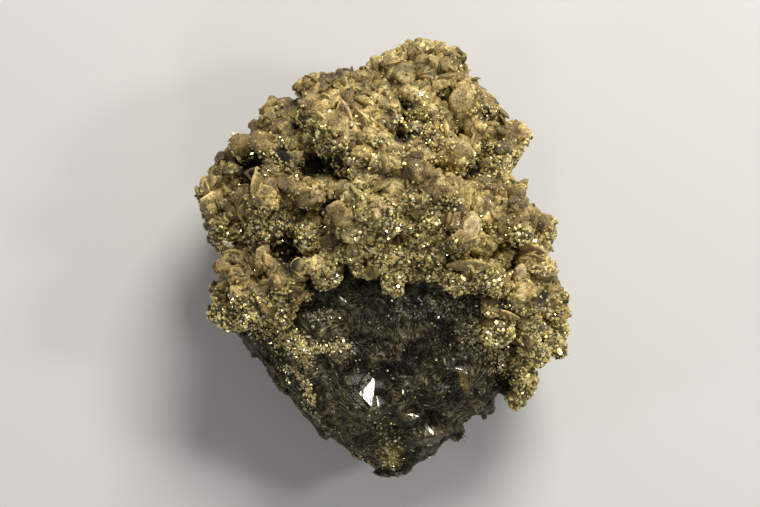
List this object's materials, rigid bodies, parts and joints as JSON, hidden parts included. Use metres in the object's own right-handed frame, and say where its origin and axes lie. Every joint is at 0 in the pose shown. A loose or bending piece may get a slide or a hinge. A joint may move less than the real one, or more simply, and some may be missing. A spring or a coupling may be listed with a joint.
{
  "type": "siderite on pyrite mineral specimen",
  "caption": "Mineral specimen lying on its back: a dark block of massive pyrite under a crust of tan siderite lens crystals, for a collection, a shelf or a display tray.",
  "frame": {"origin": "on the floor under the middle of the specimen's box, as it lies on its back", "axes": "+Z out of the front face, +Y towards the top end of the specimen as it is shown upright"},
  "size_m": [0.092, 0.1094, 0.0581],
  "materials": {
    "massive_pyrite": "dark, broken, half metallic",
    "siderite": "satin to dull, tan",
    "pyrite_druse": "bright metallic, brassy"
  },
  "bodies": {
    "root": {"pyrite_matrix": "massive_pyrite", "siderite_crust": "siderite"}
  },
  "joints": []
}
